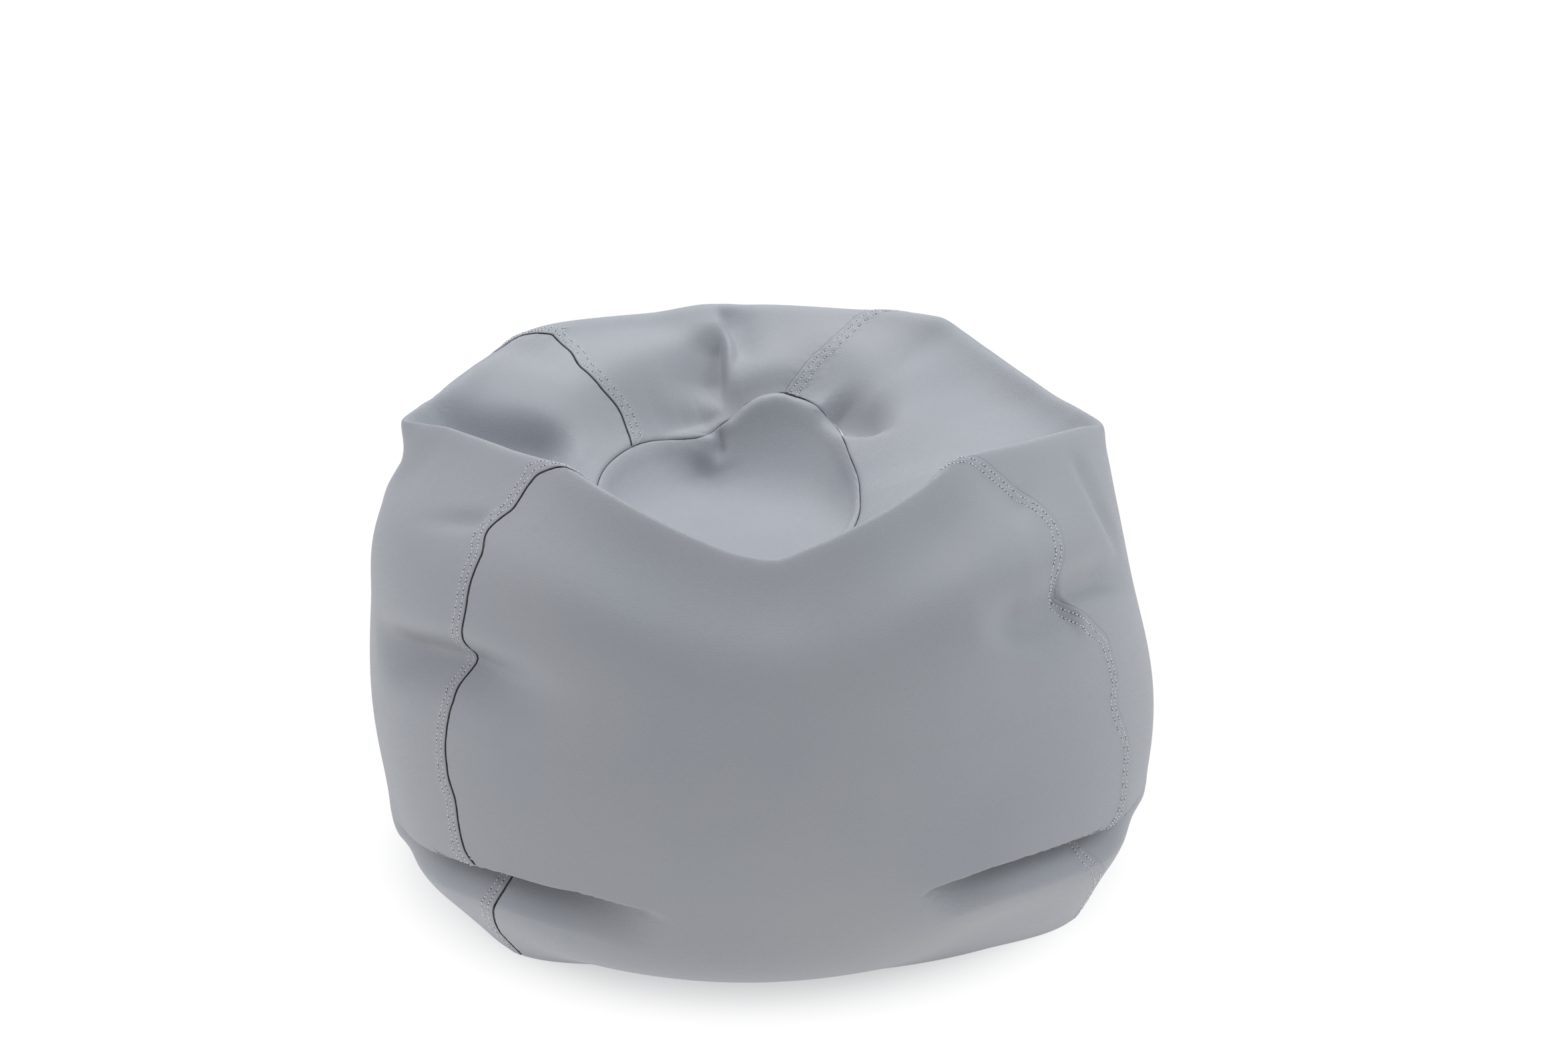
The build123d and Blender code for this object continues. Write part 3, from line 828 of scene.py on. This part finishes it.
def stitch_mesh(line, normals, run):
    """Points and faces of the stitches along a line, and of the needle holes between them."""
    points, faces, hole_points, hole_faces = [], [], [], []
    starts = np.arange(run[0] + 3 * MM, run[-1] - STITCH_PITCH, STITCH_PITCH)
    for start in starts:
        stations = np.linspace(start, start + STITCH_LENGTH, STITCH_RINGS)
        centre = np.column_stack([np.interp(stations, run, line[:, k]) for k in range(3)])
        up = unit(np.column_stack([np.interp(stations, run, normals[:, k]) for k in range(3)]))
        way = unit(np.gradient(centre, axis=0))
        side = unit(np.cross(way, up))
        t = np.linspace(-1, 1, STITCH_RINGS)
        centre = centre + up * ((STITCH_TOP - STITCH_DIVE * t**4) * MM)[:, None]
        radius = STITCH_RADIUS * np.sqrt(np.clip(1.02 - 0.8 * t**4, 0.1, 1))
        first = len(points)
        for k in range(STITCH_RINGS):
            for j in range(STITCH_SIDES):
                turn = 2 * math.pi * j / STITCH_SIDES
                points.append(centre[k] + radius[k] * (math.cos(turn) * side[k] + math.sin(turn) * up[k]))
        faces += tube_faces(STITCH_RINGS, STITCH_SIDES, first)
        faces.append([first + j for j in range(STITCH_SIDES)][::-1])
        last = first + (STITCH_RINGS - 1) * STITCH_SIDES
        faces.append([last + j for j in range(STITCH_SIDES)])
        gap_at = start - (STITCH_PITCH - STITCH_LENGTH) / 2
        middle = np.array([np.interp(gap_at, run, line[:, k]) for k in range(3)])
        hole = len(hole_points)
        hole_points.extend(hole_rim(middle, up[0], way[0]))
        for j in range(HOLE_SIDES):
            hole_faces.append([hole, hole + 1 + j, hole + 1 + (j + 1) % HOLE_SIDES])
    return points, faces, hole_points, hole_faces


def add_stitches(panel, thread, hole_shade_material):
    """Both rows of topstitching of one seam, as one piece of thread and one of needle holes coloured with
    painted shade.
    """
    points, faces, hole_points, hole_faces = [], [], [], []
    for line, normals, run in seam_rows(panel):
        p, f, hp, hf = stitch_mesh(line, normals, run)
        faces.extend([[i + len(points) for i in face] for face in f])
        hole_faces.extend([[i + len(hole_points) for i in face] for face in hf])
        points.extend(p)
        hole_points.extend(hp)
    seam = PANELS[panel][1]
    add_mesh(f"topstitch_{seam}", points, faces, thread)
    # the needle holes are small discs coloured dark as painted shade
    add_mesh(f"painted_hole_shade_{seam}", hole_points, hole_faces, hole_shade_material)


# ---------------------------------------------------------------- materials

def new_material(name):
    """New material with its nodes, links and Principled shader."""
    material = bpy.data.materials.new(name)
    material.use_nodes = True
    nodes = material.node_tree.nodes
    return material, nodes, material.node_tree.links, nodes["Principled BSDF"]


def add_node(nodes, kind, **values):
    """Node with its inputs set by name."""
    node = nodes.new(kind)
    for key, value in values.items():
        if key in node.inputs:
            node.inputs[key].default_value = value
        else:
            setattr(node, key, value)
    return node


def textured(name, kind, **values):
    """Material with one texture in object space: all its pieces, and the texture."""
    material, nodes, links, shader = new_material(name)
    texture = add_node(nodes, kind, **values)
    place = add_node(nodes, "ShaderNodeTexCoord")
    links.new(place.outputs["Object"], texture.inputs["Vector"])
    return material, nodes, links, shader, texture, place.outputs["Object"]


def tint(nodes, links, shader, value, start, end, places=(0.0, 1.0)):
    """Base colour that runs between two colours as a value rises between two places."""
    ramp = add_node(nodes, "ShaderNodeValToRGB")
    for element, place, colour in zip(ramp.color_ramp.elements, places, (start, end)):
        element.position = place
        element.color = (*colour, 1)
    links.new(value, ramp.inputs["Fac"])
    links.new(ramp.outputs["Color"], shader.inputs["Base Color"])


def emboss(nodes, links, shader, height, **values):
    """Bump on the surface from a height."""
    bump = add_node(nodes, "ShaderNodeBump", **values)
    links.new(height, bump.inputs["Height"])
    links.new(bump.outputs["Normal"], shader.inputs["Normal"])


def vary_roughness(nodes, links, shader, value, low, high):
    """Roughness that follows a value between low and high."""
    gloss = add_node(nodes, "ShaderNodeMapRange")
    gloss.inputs["To Min"].default_value = low
    gloss.inputs["To Max"].default_value = high
    links.new(value, gloss.inputs["Value"])
    links.new(gloss.outputs["Result"], shader.inputs["Roughness"])


def vinyl_material():
    """Grey imitation leather: fine pebble grain, faint creases and a satin gloss."""
    material, nodes, links, shader, tone, place = textured("grey_vinyl", "ShaderNodeTexNoise", Scale=7.0,
                                                           Detail=3.0, Roughness=0.5)
    tint(nodes, links, shader, tone.outputs["Fac"], (0.325, 0.342, 0.375), (0.345, 0.355, 0.380), (0.3, 0.7))
    pebble = add_node(nodes, "ShaderNodeTexVoronoi", Scale=960.0, feature="SMOOTH_F1", Smoothness=0.4)
    warp = add_node(nodes, "ShaderNodeTexNoise", Scale=260.0, Detail=2.0)
    mix = add_node(nodes, "ShaderNodeMix", data_type="VECTOR")
    mix.inputs["Factor"].default_value = 0.0012
    links.new(place, mix.inputs["A"])
    links.new(warp.outputs["Color"], mix.inputs["B"])
    links.new(place, warp.inputs["Vector"])
    links.new(mix.outputs["Result"], pebble.inputs["Vector"])
    lines = add_node(nodes, "ShaderNodeTexNoise", Scale=430.0, Detail=3.0, Roughness=0.65)
    links.new(place, lines.inputs["Vector"])
    height = add_node(nodes, "ShaderNodeMath", operation="MULTIPLY_ADD")
    height.inputs[1].default_value = 0.4
    links.new(lines.outputs["Fac"], height.inputs[0])
    links.new(pebble.outputs["Distance"], height.inputs[2])
    emboss(nodes, links, shader, height.outputs[0], Strength=0.45, Distance=0.0008)
    vary_roughness(nodes, links, shader, pebble.outputs["Distance"], 0.46, 0.56)
    shader.inputs["Specular IOR Level"].default_value = 0.45
    shader.inputs["Sheen Weight"].default_value = 0.08
    shader.inputs["Sheen Roughness"].default_value = 0.5
    return material


def backing_and_seam_shade_material():
    """Dark knitted back of the vinyl, also used as painted shade on outer faces in the seam gaps and at the
    cap seam.
    """
    material, nodes, links, shader, knit, _ = textured("knit_backing_and_painted_seam_shade", "ShaderNodeTexVoronoi", Scale=1100.0)
    tint(nodes, links, shader, knit.outputs["Distance"], (0.030, 0.031, 0.034), (0.075, 0.077, 0.083))
    emboss(nodes, links, shader, knit.outputs["Distance"], Strength=0.5, Distance=0.0003)
    shader.inputs["Roughness"].default_value = 0.9
    return material


def thread_material():
    """Twisted grey sewing thread."""
    material, nodes, links, shader, fibre, _ = textured("grey_thread", "ShaderNodeTexNoise", Scale=2600.0,
                                                        Detail=2.0)
    tint(nodes, links, shader, fibre.outputs["Fac"], (0.60, 0.61, 0.64), (0.86, 0.87, 0.90))
    emboss(nodes, links, shader, fibre.outputs["Fac"], Strength=0.5, Distance=0.0001)
    shader.inputs["Roughness"].default_value = 0.6
    shader.inputs["Sheen Weight"].default_value = 0.3
    return material


def hole_shade_material():
    """Painted shade of a needle hole: dark colour on the small sunk disc at each hole."""
    material, nodes, links, shader, grain, _ = textured("needle_hole_shade_paint", "ShaderNodeTexNoise", Scale=900.0)
    tint(nodes, links, shader, grain.outputs["Fac"], (0.06, 0.062, 0.068), (0.11, 0.112, 0.12))
    shader.inputs["Roughness"].default_value = 0.8
    return material


def woven_material(name, dark, light, pitch, roughness):
    """Plain weave: two crossing sets of threads, pitch metres apart."""
    waves = {"Scale": 2 * math.pi / pitch / 20, "Distortion": 0.4}
    material, nodes, links, shader, warp, place = textured(name, "ShaderNodeTexWave",
                                                           bands_direction="X", **waves)
    weft = add_node(nodes, "ShaderNodeTexWave", bands_direction="Y", **waves)
    links.new(place, weft.inputs["Vector"])
    both = add_node(nodes, "ShaderNodeMath", operation="MULTIPLY")
    links.new(warp.outputs["Fac"], both.inputs[0])
    links.new(weft.outputs["Fac"], both.inputs[1])
    tint(nodes, links, shader, both.outputs[0], dark, light)
    emboss(nodes, links, shader, both.outputs[0], Strength=0.4, Distance=0.0002)
    shader.inputs["Roughness"].default_value = roughness
    return material


def bead_material():
    """White expanded polystyrene beads, about 4 mm across, with painted shade: grey towards each bead's edge
    where the beads meet.
    """
    material, nodes, links, shader, cells, _ = textured("polystyrene_beads", "ShaderNodeTexVoronoi",
                                                        Scale=240.0)
    # painted shade between the beads: white in each bead's middle, grey towards its edge
    tint(nodes, links, shader, cells.outputs["Distance"], (0.92, 0.92, 0.92), (0.55, 0.56, 0.58))
    emboss(nodes, links, shader, cells.outputs["Distance"], Strength=0.9, Distance=0.002, invert=True)
    shader.inputs["Roughness"].default_value = 0.75
    return material


def moulded_material(name, colour, metallic, roughness):
    """Zip hardware: enamelled metal or moulded nylon with fine speckle and worn gloss."""
    material, nodes, links, shader, speckle, _ = textured(name, "ShaderNodeTexNoise", Scale=1500.0,
                                                          Detail=3.0)
    tint(nodes, links, shader, speckle.outputs["Fac"], [c * 0.85 for c in colour], [c * 1.15 for c in colour])
    vary_roughness(nodes, links, shader, speckle.outputs["Fac"], roughness - 0.08, roughness + 0.08)
    emboss(nodes, links, shader, speckle.outputs["Fac"], Strength=0.2, Distance=0.0001)
    shader.inputs["Metallic"].default_value = metallic
    return material


def dress_cad_nodes(vinyl, liner, tape, coil, metal):
    """Procedural materials for the flat base panels and the zips, which keep their CAD shape."""
    finish = {"cover_base": vinyl, "liner_base": liner, "tape": tape, "coil": coil, "stop": metal,
              "slider": metal}
    for name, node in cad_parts.items():
        for word, material in finish.items():
            if word in name:
                node.data.materials.clear()
                node.data.materials.append(material)


# ---------------------------------------------------------------- stage

FLOOR_MIDDLE = (-0.01, 0.03, 0)
FLOOR_NEAR, FLOOR_FAR = 0.34, 0.46     # where the lit sweep begins and has taken over
FLOOR_REACH = 25
FLOOR_DROP = 0.0004        # keeps the floor clear of the base
AIM = (0, 0, 0.3)
# Soft square lights: place, size, power, colour
LIGHTS = {"top": ((0.0, 1.5, 2.9), 2.4, 58, (0.97, 0.985, 1.0)),
          "right": ((2.6, -0.3, 2.2), 1.6, 30, (0.88, 0.95, 1.0)),
          "left": ((-2.6, -0.3, 2.2), 1.6, 22, (0.94, 0.95, 1.0))}
CAMERA_PLACE = (0.0257, -2.257, 1.20)
CAMERA_DOWN = 20           # degrees below the horizon
LENS = 50                  # millimetres


def floor_material():
    """White floor round the bag that passes into an evenly lit white sweep further out."""
    material, nodes, links, shader = new_material("white_floor")
    shader.inputs["Base Color"].default_value = (0.92, 0.92, 0.93, 1)
    shader.inputs["Roughness"].default_value = 0.8
    place = add_node(nodes, "ShaderNodeTexCoord")
    far = add_node(nodes, "ShaderNodeVectorMath", operation="DISTANCE")
    far.inputs[1].default_value = FLOOR_MIDDLE
    links.new(place.outputs["Object"], far.inputs[0])
    share = add_node(nodes, "ShaderNodeMapRange", interpolation_type="SMOOTHSTEP")
    share.inputs["From Min"].default_value = FLOOR_NEAR
    share.inputs["From Max"].default_value = FLOOR_FAR
    share.inputs["To Min"].default_value = 0.45
    links.new(far.outputs["Value"], share.inputs["Value"])
    glow = add_node(nodes, "ShaderNodeEmission", Strength=1.02)
    mix = add_node(nodes, "ShaderNodeMixShader")
    links.new(share.outputs["Result"], mix.inputs["Fac"])
    links.new(shader.outputs[0], mix.inputs[1])
    links.new(glow.outputs[0], mix.inputs[2])
    links.new(mix.outputs[0], nodes["Material Output"].inputs["Surface"])
    return material


def add_floor():
    """Pale seamless floor."""
    mesh = bpy.data.meshes.new("floor")
    corners = [(x * FLOOR_REACH, y * FLOOR_REACH, -FLOOR_DROP)
               for x, y in ((-1, -1), (1, -1), (1, 1), (-1, 1))]
    mesh.from_pydata(corners, [], [[0, 1, 2, 3]])
    floor = bpy.data.objects.new("floor", mesh)
    bpy.context.scene.collection.objects.link(floor)
    mesh.materials.append(floor_material())


def add_area(name, place, size, power, colour):
    """Square soft light aimed at the middle of the bag."""
    light = bpy.data.lights.new(name, "AREA")
    light.shape = "SQUARE"
    light.size = size
    light.energy = power
    light.color = colour
    lamp = bpy.data.objects.new(name, light)
    bpy.context.scene.collection.objects.link(lamp)
    lamp.location = place
    lamp.rotation_euler = (Vector(AIM) - Vector(place)).to_track_quat("-Z", "Y").to_euler()


def add_lights():
    """High-key studio: a white world, a broad top light from behind and soft sides."""
    world = bpy.data.worlds.new("studio")
    bpy.context.scene.world = world
    world.use_nodes = True
    background = world.node_tree.nodes["Background"]
    background.inputs["Color"].default_value = (0.97, 0.98, 1.0, 1)
    background.inputs["Strength"].default_value = 0.49
    for name, values in LIGHTS.items():
        add_area(name, *values)


def add_camera():
    """50 mm lens, 20 degrees down onto the bag's front."""
    camera = bpy.data.cameras.new("camera")
    camera.lens = LENS
    camera.sensor_width = 36
    camera.clip_end = 200
    viewer = bpy.data.objects.new("camera", camera)
    bpy.context.scene.collection.objects.link(viewer)
    viewer.location = CAMERA_PLACE
    viewer.rotation_euler = (math.radians(90 - CAMERA_DOWN), 0, 0)
    bpy.context.scene.camera = viewer
    bpy.context.scene.view_settings.view_transform = "Standard"


def main():
    """Stage, cover, liner, beads, zips and stitches."""
    add_camera()
    add_lights()
    add_floor()
    vinyl = vinyl_material()
    backing_and_seam_shade = backing_and_seam_shade_material()
    for name in PANELS:
        cover_panel(name, vinyl, backing_and_seam_shade)
    cover_cap(vinyl, backing_and_seam_shade)
    liner = woven_material("liner_weave", (0.62, 0.62, 0.60), (0.85, 0.85, 0.83), 0.6 * MM, 0.85)
    tape = woven_material("zip_tape_weave", (0.05, 0.052, 0.058), (0.10, 0.105, 0.115), 0.9 * MM, 0.8)
    coil = moulded_material("nylon_coil", (0.10, 0.105, 0.115), 0.0, 0.4)
    metal = moulded_material("enamelled_zinc", (0.20, 0.21, 0.23), 0.6, 0.42)
    liner_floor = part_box("liner_base_front")[0].z
    for name in PANELS:
        liner_panel(name, liner, liner_floor)
    liner_cap(liner, liner_floor)
    bead_filling(bead_material(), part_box("bead_filling")[0].z)
    dress_cad_nodes(vinyl, liner, tape, coil, metal)
    thread = thread_material()
    hole_shade = hole_shade_material()
    for name in PANELS:
        add_stitches(name, thread, hole_shade)


main()
